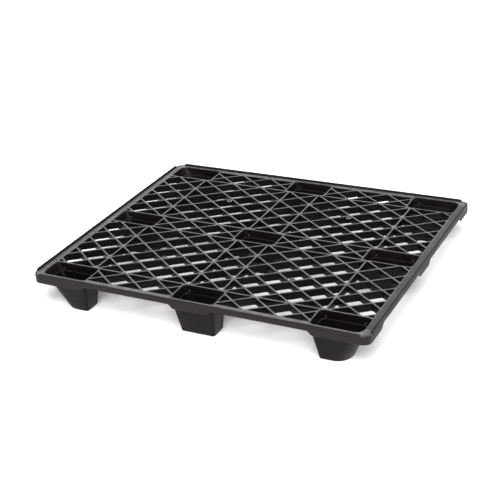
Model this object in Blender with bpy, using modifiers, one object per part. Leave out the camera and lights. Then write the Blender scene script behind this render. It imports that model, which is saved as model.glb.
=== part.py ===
"""Nestable nine-legged export pallet with an open diamond-lattice deck.

The real pallet is one injection moulding. Here each functional region of that moulding
is its own closed solid, split from its neighbours by a hairline gap. Metres, +Z up;
the long sides run along X, the front is at -Y and the feet stand on Z = 0.
"""

import math

import bmesh
import bpy

# Driving dimensions.
LENGTH = 1.200
WIDTH = 1.000
DECK_TOP = 0.130
GAP = 0.0003

# Lattice: rib crossings lie at (i * PITCH_X, j * PITCH_Y) where i + j is even.
PITCH_X = 0.05947
PITCH_Y = 0.04326
RIB_WIDTH = 0.006
RIB_DEPTH = 0.0265
MIN_HOLE_AREA = 60e-6
BAY_END = 7 * PITCH_X
CORNER_LEGS_START = 9 * PITCH_Y

# Outer wall: a lip above the deck and a skirt below it, deeper at the legs.
WALL = 0.0055
LIP_RISE = 0.0070
SKIRT_SHALLOW = 0.015
SKIRT_DEEP = 0.030
CORNER_RADIUS = 0.028
FLANGE_THICKNESS = 0.004
FLANGE_INNER_X = 0.5733
FLANGE_INNER_Y = 0.4829
# Solid border of the lattice along the front and back flanges.
EDGE_BORDER = 0.0110
# Half-lengths along a side where the skirt turns deep: (middle end, middle slope end,
# corner slope start, corner start).
SKIRT_STEPS_LONG = (0.0607, 0.0756, 0.4008, 0.4167)
SKIRT_STEPS_SHORT = (0.0418, 0.0597, 0.3779, 0.3958)

# Hollow legs: outer faces at the deck, tapering to the feet.
LEG_WALL = 0.003
LEG_FLOOR = 0.0035
LEG_TAPER = 0.021
LEG_MIDDLE_TAPER = 0.017
LEG_INNER_TAPER = 0.009
LEG_END_TAPER = 0.060
# Legs reach this far past the rib crossings that they start at.
LEG_OUTSET = 0.001
LEG_MIDDLE_X = 0.0776
LEG_OUTER_X = (0.3985, FLANGE_INNER_X - GAP)
LEG_MIDDLE_Y = PITCH_Y + LEG_OUTSET
LEG_OUTER_Y = (CORNER_LEGS_START - LEG_OUTSET, FLANGE_INNER_Y - GAP)
LEG_RADIUS_TOP = 0.006
LEG_RADIUS_FOOT = 0.010
LEG_END_RADIUS_TOP = CORNER_RADIUS
LEG_END_RADIUS_FOOT = 0.050
FOOT_EDGE = 0.003
ARC_STEPS = 5
SMOOTH_BELOW_DEGREES = 35

# Gate bosses: small dimpled discs nested beside a rib crossing of each deck bay.
BOSS_RADIUS = 0.0105
BOSS_TOP = DECK_TOP - 0.001
BOSS_DEPTH = 0.012
BOSS_X = 4 * PITCH_X
BOSS_OFFSET = 0.0172
BOSS_Y = 6 * PITCH_Y - BOSS_OFFSET
BOSS_DIMPLE_RADIUS = 0.003
BOSS_DIMPLE_DEPTH = 0.0015
BOSS_CHAMFER = 0.001
BOSS_SIDES = 20
AXIS_MERGE = 0.00001

# Recycled black polyethylene: (base colour, roughness) of each region.
FINISHES = {
    "deck_plastic": ((0.030, 0.029, 0.030, 1.0), 0.50),
    "rim_plastic": ((0.034, 0.033, 0.034, 1.0), 0.48),
    "skirt_plastic": ((0.028, 0.027, 0.028, 1.0), 0.52),
    "leg_plastic": ((0.026, 0.025, 0.026, 1.0), 0.55),
    "boss_plastic": ((0.036, 0.035, 0.036, 1.0), 0.45),
}

SIDES = {"front": -1, "middle": 0, "back": 1}
ENDS = {"left": -1, "middle": 0, "right": 1}


def clear_scene():
    """Remove every object the file opened with."""
    for obj in list(bpy.data.objects):
        bpy.data.objects.remove(obj)


def make_material(name, colour, roughness):
    """Return a Principled BSDF material of one moulded plastic."""
    material = bpy.data.materials.new(name)
    material.use_nodes = True
    shader = material.node_tree.nodes["Principled BSDF"]
    shader.inputs["Base Color"].default_value = colour
    shader.inputs["Roughness"].default_value = roughness
    shader.inputs["Metallic"].default_value = 0.0
    return material


class Pallet:
    """The collection, the parent empty and the materials that every part shares."""

    def __init__(self):
        self.collection = bpy.data.collections.new("plastic_pallet")
        bpy.context.scene.collection.children.link(self.collection)
        self.origin = bpy.data.objects.new("pallet_origin", None)
        self.collection.objects.link(self.origin)
        self.materials = {n: make_material(n, *finish) for n, finish in FINISHES.items()}

    def add(self, name, data, finish, location=(0, 0, 0), rotation=(0, 0, 0)):
        """Link data as a named part, finished and parented to the pallet's origin."""
        data.materials.append(self.materials[finish])
        obj = bpy.data.objects.new(name, data)
        obj.location = location
        obj.rotation_euler = rotation
        obj.parent = self.origin
        self.collection.objects.link(obj)
        return obj


def flat_curve(name, loops, thickness):
    """A filled 2D outline with holes, extruded evenly about its plane."""
    curve = bpy.data.curves.new(name, "CURVE")
    curve.dimensions = "2D"
    curve.fill_mode = "BOTH"
    curve.extrude = thickness / 2
    for points in loops:
        spline = curve.splines.new("POLY")
        spline.points.add(len(points) - 1)
        for point, (x, y) in zip(spline.points, points):
            point.co = (x, y, 0, 1)
        spline.use_cyclic_u = True
    return curve


def arc(centre, radius, start, end, steps=ARC_STEPS):
    """Points on an arc between two angles in degrees, both ends included."""
    angles = (math.radians(start + (end - start) * k / steps) for k in range(steps + 1))
    return [(centre[0] + radius * math.cos(a), centre[1] + radius * math.sin(a)) for a in angles]


def clip(points, axis, limit, keep):
    """Cut a convex outline at coordinate = limit; keep is +1 for above, -1 for below."""
    kept = []
    for here, there in zip(points, points[1:] + points[:1]):
        inside = keep * (here[axis] - limit)
        beyond = keep * (there[axis] - limit)
        if inside >= 0:
            kept.append(here)
        if inside * beyond < 0:
            t = inside / (inside - beyond)
            kept.append(tuple(a + t * (b - a) for a, b in zip(here, there)))
    return kept


def area(points):
    """Unsigned area of an outline."""
    pairs = zip(points, points[1:] + points[:1])
    return abs(sum(a[0] * b[1] - b[0] * a[1] for a, b in pairs)) / 2


def lattice_holes(low, high):
    """Diamond openings of the rib lattice, trimmed to the box from low to high."""
    side_distance = PITCH_X * PITCH_Y / math.hypot(PITCH_X, PITCH_Y)
    shrink = 1 - RIB_WIDTH / 2 / side_distance
    half_x = PITCH_X * shrink
    half_y = PITCH_Y * shrink
    holes = []
    for i in range(int(low[0] // PITCH_X) - 1, int(high[0] // PITCH_X) + 3):
        for j in range(int(low[1] // PITCH_Y) - 1, int(high[1] // PITCH_Y) + 3):
            if (i + j) % 2 == 0:
                continue
            x = i * PITCH_X
            y = j * PITCH_Y
            hole = [(x + half_x, y), (x, y + half_y), (x - half_x, y), (x, y - half_y)]
            for axis in (0, 1):
                hole = clip(hole, axis, low[axis], 1)
                hole = clip(hole, axis, high[axis], -1)
            if len(hole) > 2 and area(hole) > MIN_HOLE_AREA:
                holes.append(hole)
    return holes


def add_panel(pallet, name, low, high, borders):
    """A lattice panel over a box; borders are its edge widths (-X, +X, -Y, +Y)."""
    outline = [low, (high[0], low[1]), high, (low[0], high[1])]
    inner_low = (low[0] + borders[0], low[1] + borders[2])
    inner_high = (high[0] - borders[1], high[1] - borders[3])
    curve = flat_curve(name, [outline] + lattice_holes(inner_low, inner_high), RIB_DEPTH)
    pallet.add(name, curve, "deck_plastic", (0, 0, DECK_TOP - RIB_DEPTH / 2))


def mirrored_panel(pallet, name, low, high, borders, flip_x, flip_y):
    """The panel as given for the +X, +Y quarter, reflected into another quarter."""
    if flip_x:
        low, high = (-high[0], low[1]), (-low[0], high[1])
        borders = (borders[1], borders[0], borders[2], borders[3])
    if flip_y:
        low, high = (low[0], -high[1]), (high[0], -low[1])
        borders = (borders[0], borders[1], borders[3], borders[2])
    add_panel(pallet, name, low, high, borders)


def add_deck(pallet):
    """Sixteen lattice panels fill the deck between the leg mouths and the rim."""
    rib = RIB_WIDTH / 2
    seam = GAP / 2
    column = (PITCH_X + seam, BAY_END - seam)
    between_legs_x = (LEG_MIDDLE_X + GAP, LEG_OUTER_X[0] - GAP)
    between_legs_y = (LEG_MIDDLE_Y + GAP, LEG_OUTER_Y[0] - GAP)
    rim_x = FLANGE_INNER_X - GAP
    rim_y = FLANGE_INNER_Y - GAP
    side_border = LEG_WALL + GAP
    for side in ("front", "back"):
        flip_y = side == "front"
        for end in ("left", "right"):
            flip_x = end == "left"
            mirrored_panel(
                pallet, f"deck_bay_{side}_{end}",
                (column[0], between_legs_y[0]), (column[1], between_legs_y[1]),
                (rib, rib, rib, rib), flip_x, flip_y,
            )
            mirrored_panel(
                pallet, f"deck_side_{side}_{end}",
                (BAY_END + seam, between_legs_y[0]), (rim_x, between_legs_y[1]),
                (rib, side_border, rib, rib), flip_x, flip_y,
            )
            mirrored_panel(
                pallet, f"deck_edge_{side}_{end}",
                (between_legs_x[0], LEG_OUTER_Y[0]), (between_legs_x[1], rim_y),
                (rib, rib, LEG_WALL, EDGE_BORDER), flip_x, flip_y,
            )
        mirrored_panel(
            pallet, f"deck_strip_{side}",
            (seam - PITCH_X, between_legs_y[0]), (PITCH_X - seam, between_legs_y[1]),
            (rib, rib, rib, rib), False, flip_y,
        )
    for end in ("left", "right"):
        mirrored_panel(
            pallet, f"deck_strip_{end}",
            (between_legs_x[0], -LEG_MIDDLE_Y), (between_legs_x[1], LEG_MIDDLE_Y),
            (rib, rib, LEG_WALL, LEG_WALL), end == "left", False,
        )


def skirt_outline(half_length, steps):
    """Front view of one outer wall, above and below the deck top at y = 0."""
    middle, middle_slope, corner_slope, corner = steps
    right = [
        (middle, -SKIRT_DEEP), (middle_slope, -SKIRT_SHALLOW),
        (corner_slope, -SKIRT_SHALLOW), (corner, -SKIRT_DEEP),
        (half_length, -SKIRT_DEEP), (half_length, LIP_RISE),
    ]
    return right + [(-x, y) for x, y in reversed(right)]


def add_skirts(pallet):
    """Four straight outer walls and four rounded corner walls."""
    upright = math.pi / 2
    long_outline = skirt_outline(LENGTH / 2 - CORNER_RADIUS - GAP, SKIRT_STEPS_LONG)
    short_outline = skirt_outline(WIDTH / 2 - CORNER_RADIUS - GAP, SKIRT_STEPS_SHORT)
    for side in ("front", "back"):
        y = SIDES[side] * (WIDTH - WALL) / 2
        curve = flat_curve(f"skirt_{side}", [long_outline], WALL)
        pallet.add(f"skirt_{side}", curve, "skirt_plastic", (0, y, DECK_TOP), (upright, 0, 0))
    for end in ("left", "right"):
        x = ENDS[end] * (LENGTH - WALL) / 2
        curve = flat_curve(f"skirt_{end}", [short_outline], WALL)
        pallet.add(f"skirt_{end}", curve, "skirt_plastic", (x, 0, DECK_TOP), (upright, 0, upright))
    centre = (LENGTH / 2 - CORNER_RADIUS, WIDTH / 2 - CORNER_RADIUS)
    outer = arc(centre, CORNER_RADIUS, 0, 90)
    inner = arc(centre, CORNER_RADIUS - WALL, 90, 0)
    for name, flip in corner_flips():
        curve = flat_curve(f"skirt_corner_{name}", [flip(outer + inner)], SKIRT_DEEP)
        pallet.add(f"skirt_corner_{name}", curve, "skirt_plastic",
                   (0, 0, DECK_TOP - SKIRT_DEEP / 2))


def corner_flips():
    """Name of each corner, with a function that reflects +X, +Y points into it."""
    for side in ("front", "back"):
        for end in ("left", "right"):
            sx, sy = ENDS[end], SIDES[side]
            yield f"{side}_{end}", lambda pts, sx=sx, sy=sy: [(sx * x, sy * y) for x, y in pts]


def add_flanges(pallet):
    """The flat rim: four straight strips and four corner plates inside the outer wall."""
    centre_z = DECK_TOP - FLANGE_THICKNESS / 2
    edge_x = LENGTH / 2 - WALL - GAP
    edge_y = WIDTH / 2 - WALL - GAP
    bend = (LEG_OUTER_X[1] - LEG_END_RADIUS_TOP, LEG_OUTER_Y[1] - LEG_END_RADIUS_TOP)
    for side in ("front", "back"):
        low, high = sorted((SIDES[side] * FLANGE_INNER_Y, SIDES[side] * edge_y))
        reach = bend[0] - GAP
        curve = flat_curve(
            f"flange_{side}", [[(-reach, low), (reach, low), (reach, high), (-reach, high)]],
            FLANGE_THICKNESS,
        )
        pallet.add(f"flange_{side}", curve, "rim_plastic", (0, 0, centre_z))
    for end in ("left", "right"):
        low, high = sorted((ENDS[end] * FLANGE_INNER_X, ENDS[end] * edge_x))
        reach = bend[1] - GAP
        curve = flat_curve(
            f"flange_{end}", [[(low, -reach), (high, -reach), (high, reach), (low, reach)]],
            FLANGE_THICKNESS,
        )
        pallet.add(f"flange_{end}", curve, "rim_plastic", (0, 0, centre_z))
    outer_centre = (LENGTH / 2 - CORNER_RADIUS, WIDTH / 2 - CORNER_RADIUS)
    outer = arc(outer_centre, CORNER_RADIUS - WALL - GAP, 0, 90)
    inner = arc(bend, LEG_END_RADIUS_TOP + GAP, 90, 0)
    outline = [(edge_x, bend[1])] + outer + [(bend[0], edge_y)] + inner
    for name, flip in corner_flips():
        curve = flat_curve(f"flange_corner_{name}", [flip(outline)], FLANGE_THICKNESS)
        pallet.add(f"flange_corner_{name}", curve, "rim_plastic", (0, 0, centre_z))


def rounded_box(low, high, radii):
    """Outline of a box with its own radius at each corner: (-X-Y, +X-Y, +X+Y, -X+Y)."""
    corners = [
        (low[0], low[1], 1, 1, 180), (high[0], low[1], -1, 1, 270),
        (high[0], high[1], -1, -1, 0), (low[0], high[1], 1, -1, 90),
    ]
    points = []
    for (x, y, in_x, in_y, start), radius in zip(corners, radii):
        centre = (x + in_x * radius, y + in_y * radius)
        points += arc(centre, radius, start, start + 90)
    return points


def loft(name, rings):
    """Closed mesh through rings of equal point count, capped at the first and last."""
    mesh = bpy.data.meshes.new(name)
    bm = bmesh.new()
    loops = [[bm.verts.new((x, y, z)) for x, y in points] for points, z in rings]
    for lower, upper in zip(loops, loops[1:]):
        for k in range(len(lower)):
            n = (k + 1) % len(lower)
            bm.faces.new((lower[k], lower[n], upper[n], upper[k]))
    bm.faces.new(list(reversed(loops[0])))
    bm.faces.new(loops[-1])
    bmesh.ops.recalc_face_normals(bm, faces=bm.faces)
    bm.to_mesh(mesh)
    bm.free()
    return mesh


def leg_section(end, side, height, inset):
    """Leg outline at a height; inset moves it inward, for the inner wall or foot edge."""
    drop = 1 - height / DECK_TOP
    if end:
        x = [LEG_OUTER_X[0] + LEG_TAPER * drop, LEG_OUTER_X[1] - LEG_END_TAPER * drop]
    else:
        x = [LEG_MIDDLE_TAPER * drop - LEG_MIDDLE_X, LEG_MIDDLE_X - LEG_MIDDLE_TAPER * drop]
    if side:
        y = [LEG_OUTER_Y[0] + LEG_INNER_TAPER * drop, LEG_OUTER_Y[1] - LEG_TAPER * drop]
    else:
        y = [LEG_TAPER * drop - LEG_MIDDLE_Y, LEG_MIDDLE_Y - LEG_TAPER * drop]
    plain = LEG_RADIUS_TOP + (LEG_RADIUS_FOOT - LEG_RADIUS_TOP) * drop - inset
    wide = LEG_END_RADIUS_TOP + (LEG_END_RADIUS_FOOT - LEG_END_RADIUS_TOP) * drop - inset
    if end and side:
        radii = [plain, plain, wide, plain]
    else:
        radii = [plain] * 4
    low = (x[0] + inset, y[0] + inset)
    high = (x[1] - inset, y[1] - inset)
    points = rounded_box(low, high, radii)
    return [((end or 1) * px, (side or 1) * py) for px, py in points]


def add_legs(pallet):
    """Nine tapered cups, open at the deck and closed at the foot."""
    for side_name, side in SIDES.items():
        for end_name, end in ENDS.items():
            if (side, end) == (0, 0):
                name = "leg_centre"
            else:
                name = f"leg_{side_name}_{end_name}"
            rings = [
                (leg_section(end, side, 0, FOOT_EDGE), 0),
                (leg_section(end, side, FOOT_EDGE, 0), FOOT_EDGE),
                (leg_section(end, side, DECK_TOP, 0), DECK_TOP),
                (leg_section(end, side, DECK_TOP, LEG_WALL), DECK_TOP),
                (leg_section(end, side, LEG_FLOOR, LEG_WALL), LEG_FLOOR),
            ]
            mesh = loft(name, rings)
            mesh.shade_smooth()
            mesh.set_sharp_from_angle(angle=math.radians(SMOOTH_BELOW_DEGREES))
            pallet.add(name, mesh, "leg_plastic")


def add_bosses(pallet):
    """One turned, dimpled boss in each deck bay."""
    profile = [
        (0, -BOSS_DIMPLE_DEPTH), (BOSS_DIMPLE_RADIUS, -BOSS_DIMPLE_DEPTH),
        (BOSS_DIMPLE_RADIUS + BOSS_DIMPLE_DEPTH, 0), (BOSS_RADIUS - BOSS_CHAMFER, 0),
        (BOSS_RADIUS, -BOSS_CHAMFER), (BOSS_RADIUS, -BOSS_DEPTH), (0, -BOSS_DEPTH),
    ]
    edges = [(k, k + 1) for k in range(len(profile) - 1)]
    for name, flip in corner_flips():
        mesh = bpy.data.meshes.new(f"gate_boss_{name}")
        mesh.from_pydata([(r, 0, z) for r, z in profile], edges, [])
        centre = flip([(BOSS_X, BOSS_Y)])[0]
        obj = pallet.add(f"gate_boss_{name}", mesh, "boss_plastic", (*centre, BOSS_TOP))
        screw = obj.modifiers.new("turn", "SCREW")
        screw.steps = BOSS_SIDES
        screw.render_steps = BOSS_SIDES
        screw.use_merge_vertices = True
        screw.merge_threshold = AXIS_MERGE


def main():
    """Build the whole pallet."""
    clear_scene()
    pallet = Pallet()
    add_deck(pallet)
    add_skirts(pallet)
    add_flanges(pallet)
    add_legs(pallet)
    add_bosses(pallet)


main()
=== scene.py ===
"""Looks of the nestable plastic pallet.

Every region of the moulding is rebuilt with its real edges: drafted, filleted lattice ribs,
a rim with a rounded lip, and smooth cup legs. Metres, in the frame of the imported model.
"""

import math

import bmesh
import bpy
from mathutils import Euler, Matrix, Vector


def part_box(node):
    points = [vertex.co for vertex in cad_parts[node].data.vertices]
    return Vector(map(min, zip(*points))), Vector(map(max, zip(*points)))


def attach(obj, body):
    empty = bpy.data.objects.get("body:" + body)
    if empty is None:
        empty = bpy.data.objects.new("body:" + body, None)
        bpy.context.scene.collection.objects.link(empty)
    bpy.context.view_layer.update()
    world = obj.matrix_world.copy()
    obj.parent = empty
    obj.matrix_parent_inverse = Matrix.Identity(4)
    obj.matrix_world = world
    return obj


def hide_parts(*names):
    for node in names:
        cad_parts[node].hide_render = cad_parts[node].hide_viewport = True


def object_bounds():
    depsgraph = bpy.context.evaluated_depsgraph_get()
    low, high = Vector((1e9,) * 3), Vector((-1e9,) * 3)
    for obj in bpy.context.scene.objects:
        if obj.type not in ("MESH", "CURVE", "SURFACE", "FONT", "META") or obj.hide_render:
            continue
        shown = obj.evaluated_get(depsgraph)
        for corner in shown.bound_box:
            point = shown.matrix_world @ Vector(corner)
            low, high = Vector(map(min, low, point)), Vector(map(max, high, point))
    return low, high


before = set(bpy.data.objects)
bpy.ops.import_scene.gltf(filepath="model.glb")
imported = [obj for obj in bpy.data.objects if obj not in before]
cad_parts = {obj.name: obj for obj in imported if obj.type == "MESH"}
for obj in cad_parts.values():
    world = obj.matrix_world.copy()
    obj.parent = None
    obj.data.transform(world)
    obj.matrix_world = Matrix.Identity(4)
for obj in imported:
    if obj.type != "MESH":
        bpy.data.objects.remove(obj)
cad_low, cad_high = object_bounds()

# Gap between neighbouring regions of the moulding.
SEAM = 0.0003
# Legs reach this far past the rib crossings that they start at.
LEG_OUTSET = 0.001

# Places read from the frame.
HALF_X = cad_high.x
HALF_Y = cad_high.y
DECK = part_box("flange_front")[1].z
LIP_RISE = cad_high.z - DECK
RIB_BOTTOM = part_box("deck_bay_back_right")[0].z
WALL = HALF_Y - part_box("flange_back")[1].y - SEAM
PITCH_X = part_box("deck_strip_back")[1].x + SEAM / 2
PITCH_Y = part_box("leg_centre")[1].y - LEG_OUTSET
BAY_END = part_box("deck_bay_back_right")[1].x + SEAM / 2
RIM_INNER_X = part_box("flange_right")[0].x
RIM_INNER_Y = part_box("flange_back")[0].y
LEG_MIDDLE_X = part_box("leg_centre")[1].x
LEG_MIDDLE_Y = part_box("leg_centre")[1].y
LEG_OUTER_X = (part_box("leg_back_right")[0].x, RIM_INNER_X)
LEG_OUTER_Y = (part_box("leg_back_right")[0].y, RIM_INNER_Y)
CORNER_RADIUS = HALF_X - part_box("skirt_back")[1].x - SEAM

# Lattice ribs.
RIB_WIDTH = 0.006
RIB_EDGE = 0.0006
RIB_DRAFT = 0.0006
RIB_FILLET = 0.003
# Shares of RIB_EDGE: the middle point of a rib's top rounding, and the bottom edge's cut.
RIB_EDGE_BEND = 0.3
RIB_FOOT_EDGE = 0.6
# Openings below this area in square metres stay solid, and edges below this length merge.
SMALLEST_HOLE = 60e-6
SHORTEST_EDGE = 0.003
# Wall of the cup legs, and the wider edge rib beside the rim.
LEG_WALL = 0.003
EDGE_BORDER = 0.011

# Rim.
FLANGE_THICKNESS = 0.004
SHOULDER = 0.0035
LIP_TOP_WIDTH = 0.0034
LIP_ROUND_OUTER = 0.0020
LIP_ROUND_INNER = 0.0010
LIP_FILLET = 0.0012
# Largest shares of a low lip's height that its inner rounding and its fillet take.
LIP_ROUND_SHARE = 0.4
LIP_FILLET_SHARE = 0.5
SKIRT_FILLET = 0.0012
LIP_RUN_OUT = 0.006
LIP_STUMP = 0.0004
SKIRT_SHALLOW = 0.015
SKIRT_DEEP = 0.030
SKIRT_FOOT_WIDTH = 0.0032
SKIRT_EDGE = 0.0009
STEP_ROUND = 0.003
STEP_SAMPLES = 2
# Distances from a side's middle where the skirt is deep, shallow, shallow and deep again.
STEPS_LONG = (0.0607, 0.0756, 0.4008, 0.4167)
STEPS_SHORT = (0.0418, 0.0597, 0.3779, 0.3958)

# Cup legs.
LEG_TAPER = 0.021
LEG_MIDDLE_TAPER = 0.017
LEG_INNER_TAPER = 0.009
LEG_END_TAPER = 0.060
LEG_RADIUS_TOP = 0.006
LEG_RADIUS_FOOT = 0.010
LEG_END_RADIUS_TOP = CORNER_RADIUS
LEG_END_RADIUS_FOOT = 0.050
HOLLOW_RADIUS = 0.014
FOOT_ROUND = 0.0035
MOUTH_ROUND = 0.0018
CUP_FLOOR = 0.0035
CUP_FLOOR_ROUND = 0.004
LEDGE_DEPTH = 0.027
LEDGE_WIDTH = 0.0024
LEDGE_ROUND = 0.0004

PIP_RADIUS = 0.0036
PIP_RISE = 0.0018
PIP_DROP = 0.021
PIP_INSET = 0.014
# Dome section: (share of the radius, share of the rise).
PIP_PROFILE = ((1, -0.6), (1, 0.1), (0.85, 0.6), (0.55, 0.9), (0.2, 1))

# Gate bosses.
BOSS_ROUND = 0.0014
BOSS_DIMPLE = 0.0034
BOSS_DIMPLE_DEPTH = 0.0014
BOSS_SPRUE = 0.0016
BOSS_SPRUE_TIP = 0.00128
BOSS_SPRUE_DEPTH = 0.00056

SIDES = {"front": -1, "middle": 0, "back": 1}
ENDS = {"left": -1, "middle": 0, "right": 1}
# Straight pieces in a small rounding, a corner of the rim and a corner of a leg; points
# round a pip and a boss; largest turn of one piece of a fillet, in degrees.
ROUND_STEPS = 3
CORNER_STEPS = 12
LEG_CORNER_STEPS = 8
PIP_POINTS = 16
BOSS_POINTS = 24
FILLET_TURN = 30
# Edges that turn by more than this, in degrees, stay crisp.
SHARP_TURN = 40


# Outlines.

def arc(centre, radius, start, end, steps):
    """Points on an arc between two angles in degrees, both ends included."""
    angles = (math.radians(start + (end - start) * k / steps) for k in range(steps + 1))
    return [(centre[0] + radius * math.cos(a), centre[1] + radius * math.sin(a)) for a in angles]


def circle(centre, radius, count):
    """Points evenly round a full circle."""
    return arc(centre, radius, 0, 360 - 360 / count, count - 1)


def clip(points, axis, limit, keep):
    """Cut a convex outline at coordinate = limit; keep is +1 for above, -1 for below."""
    kept = []
    for here, there in zip(points, points[1:] + points[:1]):
        inside = keep * (here[axis] - limit)
        beyond = keep * (there[axis] - limit)
        if inside >= 0:
            kept.append(here)
        if inside * beyond < 0:
            t = inside / (inside - beyond)
            kept.append(tuple(a + t * (b - a) for a, b in zip(here, there)))
    return kept


def area(points):
    """Unsigned area of an outline."""
    pairs = zip(points, points[1:] + points[:1])
    return abs(sum(a[0] * b[1] - b[0] * a[1] for a, b in pairs)) / 2


def without_short_edges(points):
    """The outline with each edge too short to fillet drawn together into one corner."""
    kept = []
    for point in points:
        if kept and math.dist(kept[-1], point) < SHORTEST_EDGE:
            kept[-1] = tuple((a + b) / 2 for a, b in zip(kept[-1], point))
        else:
            kept.append(point)
    if len(kept) > 3 and math.dist(kept[-1], kept[0]) < SHORTEST_EDGE:
        kept[0] = tuple((a + b) / 2 for a, b in zip(kept[0], kept.pop()))
    return kept


def filleted_ring(points, radius, grow):
    """A convex outline, counterclockwise, with filleted corners, moved outward by grow."""
    ring = []
    for before, here, after in zip(points[-1:] + points[:-1], points, points[1:] + points[:1]):
        edge_in = (Vector(here) - Vector(before)).normalized()
        edge_out = (Vector(after) - Vector(here)).normalized()
        normal_in = Vector((edge_in.y, -edge_in.x))
        normal_out = Vector((edge_out.y, -edge_out.x))
        centre = Vector(here) - radius * (normal_in + normal_out) / (1 + normal_in.dot(normal_out))
        start = math.degrees(math.atan2(normal_in.y, normal_in.x))
        turn = math.degrees(normal_in.angle(normal_out))
        steps = max(1, math.ceil(turn / FILLET_TURN))
        ring += arc(centre, radius + grow, start, start + turn, steps)
    return ring


def lattice_holes(low, high):
    """Diamond openings of the rib lattice, trimmed to the box from low to high."""
    side_distance = PITCH_X * PITCH_Y / math.hypot(PITCH_X, PITCH_Y)
    shrink = 1 - RIB_WIDTH / 2 / side_distance
    half_x = PITCH_X * shrink
    half_y = PITCH_Y * shrink
    holes = []
    for i in range(math.floor(low[0] / PITCH_X), math.floor(high[0] / PITCH_X) + 2):
        for j in range(math.floor(low[1] / PITCH_Y), math.floor(high[1] / PITCH_Y) + 2):
            if (i + j) % 2 == 0:
                continue
            x = i * PITCH_X
            y = j * PITCH_Y
            hole = [(x + half_x, y), (x, y + half_y), (x - half_x, y), (x, y - half_y)]
            for axis in (0, 1):
                hole = clip(hole, axis, low[axis], 1)
                hole = clip(hole, axis, high[axis], -1)
            if len(hole) > 2 and area(hole) > SMALLEST_HOLE:
                holes.append(without_short_edges(hole))
    return holes


# Meshes.

class Moulding:
    """One closed piece, grown ring by ring."""

    def __init__(self, name):
        self.name = name
        self.bm = bmesh.new()

    def ring(self, points, z=None):
        """Vertices of a ring: 3D points, or 2D points all at height z."""
        if z is None:
            return [self.bm.verts.new(p) for p in points]
        return [self.bm.verts.new((x, y, z)) for x, y in points]

    def skin(self, rings, finish=0):
        """Quads between each ring and the next; finish picks one of the piece's materials."""
        for lower, upper in zip(rings, rings[1:]):
            count = len(lower)
            for k in range(count):
                n = (k + 1) % count
                face = self.bm.faces.new((lower[k], lower[n], upper[n], upper[k]))
                face.material_index = finish

    def cap(self, ring, finish=0):
        """One face across a ring."""
        self.bm.faces.new(ring).material_index = finish

    def sheet(self, outline, holes, z_up):
        """A flat triangulated sheet inside the outline and round the holes."""
        edges = []
        for ring in [outline] + holes:
            for a, b in zip(ring, ring[1:] + ring[:1]):
                edges.append(self.bm.edges.get((a, b)) or self.bm.edges.new((a, b)))
        bmesh.ops.triangle_fill(self.bm, use_beauty=True, edges=edges, normal=(0, 0, z_up))

    def finish(self, materials, slot, nodes):
        """Close the mesh, finish it and let it stand for its CAD nodes."""
        bmesh.ops.recalc_face_normals(self.bm, faces=self.bm.faces)
        mesh = bpy.data.meshes.new(self.name)
        self.bm.to_mesh(mesh)
        self.bm.free()
        for material in materials:
            mesh.materials.append(material)
        mesh.shade_smooth()
        mesh.set_sharp_from_angle(angle=math.radians(SHARP_TURN))
        piece = bpy.data.objects.new(self.name, mesh)
        bpy.context.scene.collection.objects.link(piece)
        if nodes:
            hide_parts(*nodes)
        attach(piece, "root")
        return piece


# Deck.

def panel_borders(name):
    """Widths of a panel's edge ribs in the +X, +Y quarter: toward centre, out, centre, out."""
    rib = RIB_WIDTH / 2
    rim = LEG_WALL + SEAM
    family = name.split("_")[1]
    if family == "side":
        return [rib, rim, rib, rib]
    if family == "edge":
        return [rib, rib, LEG_WALL, EDGE_BORDER]
    if name in ("deck_strip_left", "deck_strip_right"):
        return [rib, rib, LEG_WALL, LEG_WALL]
    return [rib] * 4


def snapped(value, seams):
    """The seam that a panel's edge belongs to, so that neighbours meet exactly."""
    return math.copysign(min(seams, key=lambda seam: abs(seam - abs(value))), value)


def add_panel(name, material):
    """One lattice panel with drafted ribs, filleted crossings and rounded rib tops."""
    low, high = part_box(name)
    seams_x = (PITCH_X, BAY_END, RIM_INNER_X, LEG_MIDDLE_X, LEG_OUTER_X[0])
    seams_y = (LEG_MIDDLE_Y, LEG_OUTER_Y[0], RIM_INNER_Y)
    x = [snapped(low.x, seams_x), snapped(high.x, seams_x)]
    y = [snapped(low.y, seams_y), snapped(high.y, seams_y)]
    borders = panel_borders(name)
    if x[0] + x[1] < 0:
        borders[0], borders[1] = borders[1], borders[0]
    if y[0] + y[1] < 0:
        borders[2], borders[3] = borders[3], borders[2]
    outline = [(x[0], y[0]), (x[1], y[0]), (x[1], y[1]), (x[0], y[1])]
    inner_low = (x[0] + borders[0], y[0] + borders[2])
    inner_high = (x[1] - borders[1], y[1] - borders[3])
    levels = [
        (DECK, RIB_EDGE),
        (DECK - RIB_EDGE * RIB_EDGE_BEND, RIB_EDGE * RIB_EDGE_BEND),
        (DECK - RIB_EDGE, 0),
        (RIB_BOTTOM + RIB_EDGE, RIB_DRAFT),
        (RIB_BOTTOM, RIB_DRAFT + RIB_EDGE * RIB_FOOT_EDGE),
    ]
    moulding = Moulding(name.replace("deck_", "lattice_"))
    outer_top = moulding.ring(outline, DECK)
    outer_bottom = moulding.ring(outline, RIB_BOTTOM)
    moulding.skin([outer_bottom, outer_top])
    tops = []
    bottoms = []
    for hole in lattice_holes(inner_low, inner_high):
        perimeter = sum(math.dist(a, b) for a, b in zip(hole, hole[1:] + hole[:1]))
        fillet = min(RIB_FILLET, area(hole) / perimeter)
        rings = [moulding.ring(filleted_ring(hole, fillet, grow), z) for z, grow in levels]
        moulding.skin(rings)
        tops.append(rings[0])
        bottoms.append(rings[-1])
    moulding.sheet(outer_top, tops, 1)
    moulding.sheet(outer_bottom, bottoms, -1)
    moulding.finish([material], "deck", [name])


# Rim.

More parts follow.
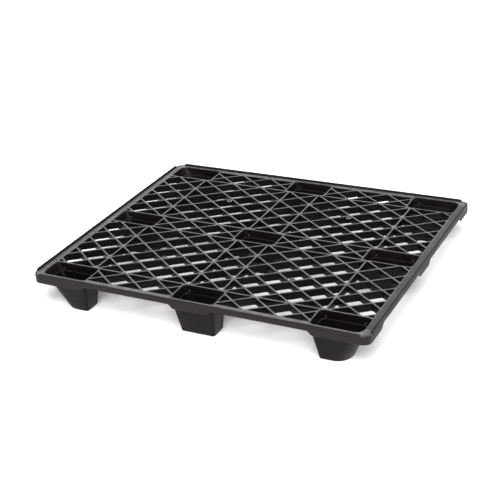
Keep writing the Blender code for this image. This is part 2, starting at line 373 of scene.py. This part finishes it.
def wall_section(lip, bottom):
    """Section of the outer wall as (inward, up) points; up is counted from the deck."""
    inner_round = min(LIP_ROUND_INNER, lip * LIP_ROUND_SHARE)
    fillet = min(LIP_FILLET, lip * LIP_FILLET_SHARE)
    shoulder = WALL + SHOULDER
    section = [(SKIRT_EDGE, -bottom)]
    section += [(0, SKIRT_EDGE - bottom)]
    section += arc((LIP_ROUND_OUTER, lip - LIP_ROUND_OUTER), LIP_ROUND_OUTER, 180, 90, ROUND_STEPS)
    if lip > 0:
        top = LIP_TOP_WIDTH + (WALL - LIP_TOP_WIDTH) * (1 - lip / LIP_RISE)
        section += arc((top - inner_round, lip - inner_round), inner_round, 90, 0, ROUND_STEPS)
        section += arc((WALL + fillet, fillet), fillet, 180, 270, ROUND_STEPS)
    section += [(shoulder, 0), (shoulder, -FLANGE_THICKNESS)]
    corner = (WALL + SKIRT_FILLET, -FLANGE_THICKNESS - SKIRT_FILLET)
    section += arc(corner, SKIRT_FILLET, 90, 180, ROUND_STEPS)
    section += [(SKIRT_FOOT_WIDTH, SKIRT_EDGE - bottom), (SKIRT_FOOT_WIDTH - SKIRT_EDGE, -bottom)]
    return section


def skirt_depth(u, steps):
    """Depth of the skirt below the deck at distance u from the side's middle."""
    middle, middle_slope, corner_slope, corner = steps
    u = abs(u)
    rise = (u - middle) / (middle_slope - middle)
    fall = (corner - u) / (corner - corner_slope)
    share = max(0, min(1, rise, fall))
    return SKIRT_DEEP + (SKIRT_SHALLOW - SKIRT_DEEP) * share


def rounded_depth(u, steps):
    """The skirt's depth with its four steps eased."""
    spread = [STEP_ROUND * k / STEP_SAMPLES for k in range(-STEP_SAMPLES, STEP_SAMPLES + 1)]
    return sum(skirt_depth(u + d, steps) for d in spread) / len(spread)


def stations(half_length, steps):
    """Places along a straight wall where its section changes, from end to end."""
    half = {half_length - LIP_RUN_OUT * k / ROUND_STEPS for k in range(ROUND_STEPS + 1)}
    half.add(0)
    reach = STEP_SAMPLES + 1
    for step in steps:
        half |= {step + STEP_ROUND * k / STEP_SAMPLES for k in range(-reach, reach + 1)}
    return sorted({-u for u in half} | half)


def lip_height(u, half_length):
    """Height of the lip, which runs out toward the corners."""
    share = min(1, (half_length - abs(u)) / LIP_RUN_OUT)
    eased = math.sin(share * math.pi / 2)
    return LIP_STUMP + (LIP_RISE - LIP_STUMP) * eased


def add_straight_wall(name, along, half_width, outward, half_length, steps, material):
    """A lip and skirt swept along X or Y; outward is -1 or +1 on the other axis."""
    moulding = Moulding(name.replace("skirt_", "wall_"))
    rings = []
    for u in stations(half_length, steps):
        section = wall_section(lip_height(u, half_length), rounded_depth(u, steps))
        ring = []
        for inward, up in section:
            across = outward * (half_width - inward)
            place = (u, across) if along == "x" else (across, u)
            ring.append((*place, DECK + up))
        rings.append(moulding.ring(ring))
    moulding.skin(rings)
    moulding.cap(rings[0])
    moulding.cap(rings[-1])
    moulding.finish([material], "skirt", [name])


def add_corner_wall(side, end, material):
    """The skirt round a corner, where the lip is missing."""
    name = f"skirt_corner_{side}_{end}"
    moulding = Moulding(name.replace("skirt_", "wall_"))
    centre = (HALF_X - CORNER_RADIUS, HALF_Y - CORNER_RADIUS)
    section = wall_section(0, SKIRT_DEEP)
    rings = []
    for k in range(CORNER_STEPS + 1):
        angle = math.radians(90 * k / CORNER_STEPS)
        ring = []
        for inward, up in section:
            x = centre[0] + (CORNER_RADIUS - inward) * math.cos(angle)
            y = centre[1] + (CORNER_RADIUS - inward) * math.sin(angle)
            ring.append((ENDS[end] * x, SIDES[side] * y, DECK + up))
        rings.append(moulding.ring(ring))
    moulding.skin(rings)
    moulding.cap(rings[0])
    moulding.cap(rings[-1])
    moulding.finish([material], "skirt", [name])


def add_plate(name, outline, material):
    """A flat piece of the rim with the given outline."""
    moulding = Moulding(name.replace("flange_", "rim_"))
    top = moulding.ring(outline, DECK)
    bottom = moulding.ring(outline, DECK - FLANGE_THICKNESS)
    moulding.skin([bottom, top])
    moulding.sheet(top, [], 1)
    moulding.sheet(bottom, [], -1)
    moulding.finish([material], "rim", [name])


def add_rim(walls, rims):
    """Outer walls and the flat strips inside them; walls and rims hold a material per side, lit
    for that side with painted light on its upward faces.
    """
    half_long = HALF_X - CORNER_RADIUS
    half_short = HALF_Y - CORNER_RADIUS
    edge_x = HALF_X - WALL - SHOULDER
    edge_y = HALF_Y - WALL - SHOULDER
    bend = (RIM_INNER_X - LEG_END_RADIUS_TOP, RIM_INNER_Y - LEG_END_RADIUS_TOP)
    for side in ("front", "back"):
        s = SIDES[side]
        add_straight_wall(f"skirt_{side}", "x", HALF_Y, s, half_long, STEPS_LONG, walls[side])
        strip = [(-bend[0], s * RIM_INNER_Y), (bend[0], s * RIM_INNER_Y)]
        strip += [(bend[0], s * edge_y), (-bend[0], s * edge_y)]
        add_plate(f"flange_{side}", strip, rims[side])
    for end in ("left", "right"):
        e = ENDS[end]
        add_straight_wall(f"skirt_{end}", "y", HALF_X, e, half_short, STEPS_SHORT, walls[end])
        strip = [(e * RIM_INNER_X, -bend[1]), (e * edge_x, -bend[1])]
        strip += [(e * edge_x, bend[1]), (e * RIM_INNER_X, bend[1])]
        add_plate(f"flange_{end}", strip, rims[end])
    outer = arc((half_long, half_short), CORNER_RADIUS - WALL - SHOULDER, 0, 90, CORNER_STEPS)
    inner = arc(bend, LEG_END_RADIUS_TOP, 90, 0, CORNER_STEPS)
    outline = [(edge_x, bend[1])] + outer + [(bend[0], edge_y)] + inner
    for side in ("front", "back"):
        for end in ("left", "right"):
            add_corner_wall(side, end, walls[side])
            corner = [(ENDS[end] * x, SIDES[side] * y) for x, y in outline]
            add_plate(f"flange_corner_{side}_{end}", corner, rims[side])


# Cup legs.

def rounded_box(low, high, radii):
    """Outline of a box with its own radius at each corner: (-X-Y, +X-Y, +X+Y, -X+Y)."""
    corners = [
        (low[0], low[1], 1, 1, 180), (high[0], low[1], -1, 1, 270),
        (high[0], high[1], -1, -1, 0), (low[0], high[1], 1, -1, 90),
    ]
    points = []
    for (x, y, in_x, in_y, start), radius in zip(corners, radii):
        centre = (x + in_x * radius, y + in_y * radius)
        points += arc(centre, radius, start, start + 90, LEG_CORNER_STEPS)
    return points


def leg_section(end, side, height, inset, hollow=False):
    """Leg outline at a height; inset moves it inward, for an edge or the hollow's wall."""
    drop = 1 - height / DECK
    if end:
        x = [LEG_OUTER_X[0] + LEG_TAPER * drop, LEG_OUTER_X[1] - LEG_END_TAPER * drop]
    else:
        x = [LEG_MIDDLE_TAPER * drop - LEG_MIDDLE_X, LEG_MIDDLE_X - LEG_MIDDLE_TAPER * drop]
    if side:
        y = [LEG_OUTER_Y[0] + LEG_INNER_TAPER * drop, LEG_OUTER_Y[1] - LEG_TAPER * drop]
    else:
        y = [LEG_TAPER * drop - LEG_MIDDLE_Y, LEG_MIDDLE_Y - LEG_TAPER * drop]
    plain = LEG_RADIUS_TOP + (LEG_RADIUS_FOOT - LEG_RADIUS_TOP) * drop - inset
    wide = LEG_END_RADIUS_TOP + (LEG_END_RADIUS_FOOT - LEG_END_RADIUS_TOP) * drop - inset
    if hollow:
        plain = HOLLOW_RADIUS
        wide = min(wide, y[1] - y[0] - 2 * inset - plain - SEAM)
    radii = [plain, plain, wide if end and side else plain, plain]
    low = (x[0] + inset, y[0] + inset)
    high = (x[1] - inset, y[1] - inset)
    points = rounded_box(low, high, radii)
    return [((end or 1) * px, (side or 1) * py) for px, py in points]


def add_leg(end_name, side_name, materials, pip_material):
    """One hollow tapered cup with rounded foot, mouth and floor; materials: outside, hollow."""
    end = ENDS[end_name]
    side = SIDES[side_name]
    name = "leg_centre" if (end, side) == (0, 0) else f"leg_{side_name}_{end_name}"
    turns = [math.pi / 2 * k / ROUND_STEPS for k in range(ROUND_STEPS + 1)]
    foot = [(1 - math.cos(turn), 1 - math.sin(turn)) for turn in turns]
    outside = [(FOOT_ROUND * up, FOOT_ROUND * inward) for up, inward in foot] + [(DECK, 0)]
    inside = [(DECK - MOUTH_ROUND * up, LEG_WALL - MOUTH_ROUND * inward) for up, inward in foot]
    ledge = DECK - LEDGE_DEPTH
    inner = LEG_WALL + LEDGE_WIDTH
    inside += [(ledge + LEDGE_ROUND, LEG_WALL), (ledge, LEG_WALL + LEDGE_ROUND)]
    inside += [(ledge, inner - LEDGE_ROUND), (ledge - LEDGE_ROUND, inner)]
    floor = [(1 - math.sin(turn), 1 - math.cos(turn)) for turn in turns]
    for up, inward in floor:
        inside.append((CUP_FLOOR + CUP_FLOOR_ROUND * up, inner + CUP_FLOOR_ROUND * inward))
    moulding = Moulding(name.replace("leg_", "cup_"))
    outer = [moulding.ring(leg_section(end, side, h, i), h) for h, i in outside]
    hollow = [moulding.ring(leg_section(end, side, h, i, True), h) for h, i in inside]
    moulding.cap(outer[0])
    moulding.skin(outer + hollow[:1])
    # The hollow takes the darker second material: painted shade inside the cup.
    moulding.skin(hollow, 1)
    moulding.cap(hollow[-1], 1)
    moulding.finish(materials, "leg", [name])
    add_pips(end, side, moulding.name, pip_material)


def add_pips(end, side, cup_name, material):
    """Four low domes near the corners of a cup, on its long walls."""
    moulding = Moulding(cup_name.replace("cup_", "pips_"))
    height = DECK - PIP_DROP
    wall = leg_section(end, side, height, LEG_WALL)
    low = [min(p[axis] for p in wall) for axis in (0, 1)]
    high = [max(p[axis] for p in wall) for axis in (0, 1)]
    for x in (low[0] + PIP_INSET, high[0] - PIP_INSET):
        for y, inward in ((low[1], 1), (high[1], -1)):
            rings = []
            for share, out in PIP_PROFILE:
                points = circle((x, height), PIP_RADIUS * share, PIP_POINTS)
                depth = y + inward * PIP_RISE * out
                rings.append(moulding.ring([(px, depth, pz) for px, pz in points]))
            moulding.skin(rings)
            moulding.cap(rings[0])
            moulding.cap(rings[-1])
    moulding.finish([material], "leg", [])


# Gate bosses.

def add_boss(name, material):
    """A turned boss with a rounded rim, a dimple and the broken sprue inside it."""
    low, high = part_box(name)
    centre = ((low.x + high.x) / 2, (low.y + high.y) / 2)
    radius = (high.x - low.x) / 2
    top = high.z
    profile = [(radius, low.z)]
    profile += arc((radius - BOSS_ROUND, top - BOSS_ROUND), BOSS_ROUND, 0, 90, ROUND_STEPS)
    profile += [(BOSS_DIMPLE + BOSS_DIMPLE_DEPTH, top), (BOSS_DIMPLE, top - BOSS_DIMPLE_DEPTH)]
    profile += [(BOSS_SPRUE, top - BOSS_DIMPLE_DEPTH), (BOSS_SPRUE_TIP, top - BOSS_SPRUE_DEPTH)]
    moulding = Moulding(name.replace("gate_boss_", "gate_"))
    rings = [moulding.ring(circle(centre, r, BOSS_POINTS), z) for r, z in profile]
    moulding.skin(rings)
    moulding.cap(rings[0])
    moulding.cap(rings[-1])
    moulding.finish([material], "boss", [name])


# Materials.

# Upward faces are paler, partly wear from loads and partly painted light on the tops:
# heights over which this sets in at the cups' ledges and at the deck, how strong it is on the
# ledges, and how far upward a face has to point.
RUB_AND_LIGHT_LEDGE = (DECK - LEDGE_DEPTH - 0.003, DECK - LEDGE_DEPTH - 0.001)
RUB_AND_LIGHT_DECK = (DECK - 0.004, DECK - 0.002)
RUB_AND_LIGHT_LEDGE_SHARE = 0.35
RUB_AND_LIGHT_UPWARD = (0.75, 0.95)

# Noises in space: scale and detail; for streaks also their direction in degrees and stretch.
CLOUD = (7, 3)
BLOTCH = (45, 4)
GRAIN = (1100, 2)
FLOW = (14, 3, 18, (1, 1, 7))
SCRATCH_STRETCH = (1, 26, 1)
# Scratches: scale, detail, direction, and the noise value at which they begin.
SCRATCHES = ((30, 2, 24, 0.63), (34, 2, -58, 0.64))
SCRATCH_FULL = 0.70
# Noise values between which each pattern goes from none to full.
CLOUD_RANGE = (0.3, 0.7)
FLOW_RANGE = (0.35, 0.65)
DUST_RANGE = (0.35, 0.62)
DUST_LEAST = 0.45
# Tones against the plastic's own tone, and of a scratch against the paler upward tone.
DARK_CLOUD = 0.75
PALE_CLOUD = 1.3
PALE_SCRATCH = 1.6
# How far each pattern moves the roughness.
CLOUD_ROUGHNESS = 0.04
FLOW_ROUGHNESS = 0.05
DUST_ROUGHNESS = 0.06
# Bumps: strength and height.
BLOTCH_BUMP = (0.12, 0.0006)
GRAIN_BUMP = (0.3, 0.00015)


class Paint:
    """Node tree of one moulded plastic, written in steps."""

    def __init__(self, name):
        self.material = bpy.data.materials.new(name)
        self.material.use_nodes = True
        self.nodes = self.material.node_tree.nodes
        self.links = self.material.node_tree.links
        self.shader = self.nodes["Principled BSDF"]
        self.place = self.nodes.new("ShaderNodeTexCoord").outputs["Object"]

    def noise(self, scale, detail, turn=0, stretch=(1, 1, 1)):
        """Noise in space; turn and stretch draw it out into streaks."""
        mapping = self.nodes.new("ShaderNodeMapping")
        mapping.inputs["Rotation"].default_value = (0, 0, math.radians(turn))
        mapping.inputs["Scale"].default_value = stretch
        self.links.new(self.place, mapping.inputs["Vector"])
        node = self.nodes.new("ShaderNodeTexNoise")
        node.inputs["Scale"].default_value = scale
        node.inputs["Detail"].default_value = detail
        self.links.new(mapping.outputs["Vector"], node.inputs["Vector"])
        return node.outputs["Fac"]

    def ramp(self, value, start, end, low, high):
        """Map value from start..end to low..high, held at the ends."""
        node = self.nodes.new("ShaderNodeMapRange")
        self.links.new(value, node.inputs["Value"])
        limits = {"From Min": start, "From Max": end, "To Min": low, "To Max": high}
        for socket, limit in limits.items():
            node.inputs[socket].default_value = limit
        return node.outputs["Result"]

    def combine(self, operation, first, second):
        """One arithmetic operation on two sockets."""
        node = self.nodes.new("ShaderNodeMath")
        node.operation = operation
        self.links.new(first, node.inputs[0])
        self.links.new(second, node.inputs[1])
        return node.outputs["Value"]

    def blend(self, share, first, second):
        """Mix two colours, each a tuple or a socket."""
        node = self.nodes.new("ShaderNodeMix")
        node.data_type = "RGBA"
        self.links.new(share, node.inputs["Factor"])
        for socket, colour in (("A", first), ("B", second)):
            if isinstance(colour, tuple):
                node.inputs[socket].default_value = (*colour, 1)
            else:
                self.links.new(colour, node.inputs[socket])
        return node.outputs["Result"]

    def bump(self, height, strength, distance, normal=None):
        """Relief from a height, on top of an earlier relief if there is one."""
        node = self.nodes.new("ShaderNodeBump")
        node.inputs["Strength"].default_value = strength
        node.inputs["Distance"].default_value = distance
        self.links.new(height, node.inputs["Height"])
        if normal:
            self.links.new(normal, node.inputs["Normal"])
        return node.outputs["Normal"]

    def deck_tops(self):
        """Wear and painted light on upward faces: full on the deck, less on the cups' ledges, none
        elsewhere.
        """
        normal = self.nodes.new("ShaderNodeSeparateXYZ")
        geometry = self.nodes.new("ShaderNodeNewGeometry")
        self.links.new(geometry.outputs["Normal"], normal.inputs["Vector"])
        height = self.nodes.new("ShaderNodeSeparateXYZ")
        self.links.new(self.place, height.inputs["Vector"])
        up = self.ramp(normal.outputs["Z"], *RUB_AND_LIGHT_UPWARD, 0, 1)
        ledge = self.ramp(height.outputs["Z"], *RUB_AND_LIGHT_LEDGE, 0, RUB_AND_LIGHT_LEDGE_SHARE)
        deck = self.ramp(height.outputs["Z"], *RUB_AND_LIGHT_DECK, 0, 1)
        return self.combine("MULTIPLY", up, self.combine("MAXIMUM", ledge, deck))


def grey(value):
    """A neutral colour."""
    return (value, value, value)


def scaled(colour, share):
    """A colour made paler or darker."""
    return tuple(c * share for c in colour)


def plastic(name, tone, rubbed_and_lit, roughness, gloss, tint, side_gloss=None):
    """Black recycled polyethylene: grain, cloudy gloss, flow streaks, and paler upward faces,
    partly wear and partly painted light.
    """
    paint = Paint(name)
    cloud = paint.noise(*CLOUD)
    blotch = paint.noise(*BLOTCH)
    grain = paint.noise(*GRAIN)
    flow = paint.noise(*FLOW)
    tops = paint.deck_tops()
    # Upward faces take the paler tone: partly dust and wear, partly painted light on the tops.
    dust_and_top_light = paint.combine("MULTIPLY", tops, paint.ramp(blotch, *DUST_RANGE, DUST_LEAST, 1))
    marks = []
    for scale, detail, turn, start in SCRATCHES:
        streaks = paint.noise(scale, detail, turn, SCRATCH_STRETCH)
        marks.append(paint.ramp(streaks, start, SCRATCH_FULL, 0, 1))
    scratch = paint.combine("MULTIPLY", paint.combine("MAXIMUM", *marks), tops)
    clouding = paint.ramp(cloud, *CLOUD_RANGE, 0, 1)
    body = paint.blend(clouding, scaled(tone, DARK_CLOUD), scaled(tone, PALE_CLOUD))
    body = paint.blend(dust_and_top_light, body, rubbed_and_lit)
    body = paint.blend(scratch, body, scaled(rubbed_and_lit, PALE_SCRATCH))
    paint.links.new(body, paint.shader.inputs["Base Color"])
    smoothest = roughness - CLOUD_ROUGHNESS
    roughest = roughness + CLOUD_ROUGHNESS
    rough = paint.combine(
        "ADD",
        paint.ramp(cloud, *CLOUD_RANGE, smoothest, roughest),
        paint.ramp(flow, *FLOW_RANGE, -FLOW_ROUGHNESS, FLOW_ROUGHNESS),
    )
    rough = paint.combine("ADD", rough, paint.ramp(dust_and_top_light, 0, 1, 0, DUST_ROUGHNESS))
    paint.links.new(rough, paint.shader.inputs["Roughness"])
    # Sides may be less glossy than the tops; on the deck this is painted shade in the lattice.
    if side_gloss is None:
        paint.shader.inputs["Specular IOR Level"].default_value = gloss
    else:
        sheen = paint.ramp(tops, 0, 1, side_gloss, gloss)
        paint.links.new(sheen, paint.shader.inputs["Specular IOR Level"])
    paint.shader.inputs["Specular Tint"].default_value = (*tint, 1)
    normal = paint.bump(blotch, *BLOTCH_BUMP)
    normal = paint.bump(grain, *GRAIN_BUMP, normal)
    paint.links.new(normal, paint.shader.inputs["Normal"])
    return paint.material


# Stage.

FLOOR_TONE = 0.85
FLOOR_ROUGHNESS = 0.9
FLOOR_SIZE = 80
# Strength of the air's light at the pale horizon and up in the dimmer ceiling, and the sines
# of the heights between which one fades into the other.
HORIZON_LIGHT = 1.1
CEILING_LIGHT = 0.20
HORIZON = (0.08, 0.26)
# Large far light: direction it comes from, angular size in degrees, irradiance.
KEY_FROM = (0.33, -0.90, 1.05)
KEY_SPREAD = 36
KEY_IRRADIANCE = 5.2
# Soft light over the front right corner, a fill from the right, and a card behind the pallet
# that the upward faces mirror: name, place, width, height, radiance.
SOFTBOXES = (
    ("top_softbox", (0.75, -0.7, 2.2), 1.3, 1.3, 3.0),
    ("right_fill", (3.4, 0.9, 1.9), 1.6, 1.6, 8.0),
    ("back_card", (-1.9, 3.6, 1.9), 4.0, 1.6, 2.4),
)
# Camera: place, turn in degrees, lens and sensor in millimetres, shift as a share of the width.
CAMERA_PLACE = (1.6401, -3.1161, 1.8357)
CAMERA_TURN = (63.4305, 3.7996, 26.3639)
CAMERA_LENS = 81.44
CAMERA_SENSOR = 36
CAMERA_SHIFT = (-0.001, 0.001)
CAMERA_REACH = 200


def add_light(name, kind, place, energy):
    """A light at a place, aimed at the pallet."""
    light = bpy.data.lights.new(name, kind)
    light.energy = energy
    lamp = bpy.data.objects.new(name, light)
    lamp.location = place
    lamp.rotation_euler = (-lamp.location).to_track_quat("-Z", "Y").to_euler()
    bpy.context.scene.collection.objects.link(lamp)
    return light


def add_floor():
    """A plain pale floor."""
    bpy.ops.mesh.primitive_plane_add(size=FLOOR_SIZE)
    floor = bpy.context.object
    floor.name = "studio_floor"
    paint = bpy.data.materials.new("studio_floor_paint")
    paint.use_nodes = True
    shader = paint.node_tree.nodes["Principled BSDF"]
    shader.inputs["Base Color"].default_value = (*grey(FLOOR_TONE), 1)
    shader.inputs["Roughness"].default_value = FLOOR_ROUGHNESS
    shader.inputs["Specular IOR Level"].default_value = 0
    floor.data.materials.append(paint)


def add_air():
    """White light from all round, brighter near the horizon."""
    world = bpy.data.worlds.new("studio_air")
    bpy.context.scene.world = world
    world.use_nodes = True
    nodes = world.node_tree.nodes
    links = world.node_tree.links
    background = nodes["Background"]
    background.inputs["Color"].default_value = (1, 1, 1, 1)
    direction = nodes.new("ShaderNodeTexCoord").outputs["Generated"]
    split = nodes.new("ShaderNodeSeparateXYZ")
    fade = nodes.new("ShaderNodeMapRange")
    fade.interpolation_type = "SMOOTHSTEP"
    fade.inputs["From Min"].default_value = HORIZON[0]
    fade.inputs["From Max"].default_value = HORIZON[1]
    fade.inputs["To Min"].default_value = HORIZON_LIGHT
    fade.inputs["To Max"].default_value = CEILING_LIGHT
    links.new(direction, split.inputs["Vector"])
    links.new(split.outputs["Z"], fade.inputs["Value"])
    links.new(fade.outputs["Result"], background.inputs["Strength"])


def add_lights():
    """One large far light and the softboxes."""
    key = add_light("key_light", "SUN", KEY_FROM, KEY_IRRADIANCE)
    key.angle = math.radians(KEY_SPREAD)
    for name, place, width, height, radiance in SOFTBOXES:
        light = add_light(name, "AREA", place, radiance * math.pi * width * height)
        light.shape = "RECTANGLE"
        light.size = width
        light.size_y = height


def add_camera():
    """The camera, above the front right of the pallet."""
    camera = bpy.data.cameras.new("camera")
    camera.lens = CAMERA_LENS
    camera.sensor_width = CAMERA_SENSOR
    camera.shift_x, camera.shift_y = CAMERA_SHIFT
    camera.clip_end = CAMERA_REACH
    holder = bpy.data.objects.new("camera", camera)
    holder.location = CAMERA_PLACE
    holder.rotation_euler = Euler([math.radians(a) for a in CAMERA_TURN], "XYZ")
    bpy.context.scene.collection.objects.link(holder)
    bpy.context.scene.camera = holder
    bpy.context.scene.view_settings.view_transform = "Standard"


# Pallet.

# The deck and the rim share one plastic, and the walls another. On the rim and the walls the
# paler tone of the upward faces is set side by side: painted light for how the light falls on
# each side. Colours are linear.
DECK_LOOK = {
    "tone": (0.0036, 0.0034, 0.0036), "roughness": 0.38, "gloss": 0.28, "tint": (1, 0.97, 0.98),
}
# Deck: paler upward tone, partly wear and partly painted light on the rib tops, and a lower gloss
# on the sides, painted shade in the lattice.
DECK_RUB_AND_LIGHT = {"rubbed_and_lit": (0.094, 0.092, 0.090), "side_gloss": 0.07}
# Paler upward tone of the rim on each side: painted light, palest at the front.
RIM_RUB_AND_LIGHT = {"front": 0.100, "back": 0.090, "left": 0.078, "right": 0.030}
WALL_LOOK = {"tone": (0.0045, 0.0032, 0.0039), "roughness": 0.40, "tint": (1, 0.90, 0.95)}
# Paler upward tone and gloss of each wall, set side by side as painted light; the front
# lip's top is painted brightest as its highlight.
WALL_RUB_AND_LIGHT = {
    "front": (0.070, 0.28), "back": (0.012, 0.20), "left": (0.012, 0.20), "right": (0.018, 0.09),
}
# Legs: a darker, duller copy of the wall plastic, painted shade on the legs under the deck.
CUP_LOOK = {
    "tone": (0.0030, 0.0021, 0.0026), "rubbed_and_lit": (0.075, 0.074, 0.073),
    "roughness": 0.40, "gloss": 0.11, "tint": (1, 0.86, 0.93),
}
# Inside of the cups: darker and duller still, painted shade in the hollows.
HOLLOW_LOOK = {
    "tone": (0.0024, 0.0020, 0.0022), "rubbed_and_lit": (0.060, 0.059, 0.058),
    "roughness": 0.50, "gloss": 0.07, "tint": (1, 0.90, 0.95),
}
# Pips: much paler and glossier than the plastic, a painted highlight for the bright dots in the
# cups.
PIP_LOOK = {
    "tone": (0.020, 0.019, 0.020), "rubbed_and_lit": (0.060, 0.059, 0.058),
    "roughness": 0.35, "gloss": 0.40, "tint": (1, 0.95, 0.98),
}


def add_pallet():
    """Every region of the moulding in its plastic."""
    deck = plastic("deck_plastic", **DECK_LOOK, **DECK_RUB_AND_LIGHT)
    # One copy of the wall and rim plastics per side, each with its own painted light.
    walls = {
        side: plastic(f"wall_plastic_{side}", rubbed_and_lit=grey(rubbed_and_lit), gloss=gloss, **WALL_LOOK)
        for side, (rubbed_and_lit, gloss) in WALL_RUB_AND_LIGHT.items()
    }
    rims = {
        side: plastic(f"rim_plastic_{side}", rubbed_and_lit=grey(rubbed_and_lit), **DECK_LOOK)
        for side, rubbed_and_lit in RIM_RUB_AND_LIGHT.items()
    }
    cup = plastic("cup_plastic", **CUP_LOOK)
    hollow = plastic("hollow_plastic_shaded", **HOLLOW_LOOK)
    pips = plastic("pip_plastic_highlit", **PIP_LOOK)
    for name in sorted(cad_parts):
        if name.startswith("deck_"):
            add_panel(name, deck)
        if name.startswith("gate_boss_"):
            add_boss(name, deck)
    add_rim(walls, rims)
    for side in SIDES:
        for end in ENDS:
            add_leg(end, side, (cup, hollow), pips)


add_floor()
add_air()
add_lights()
add_camera()
add_pallet()
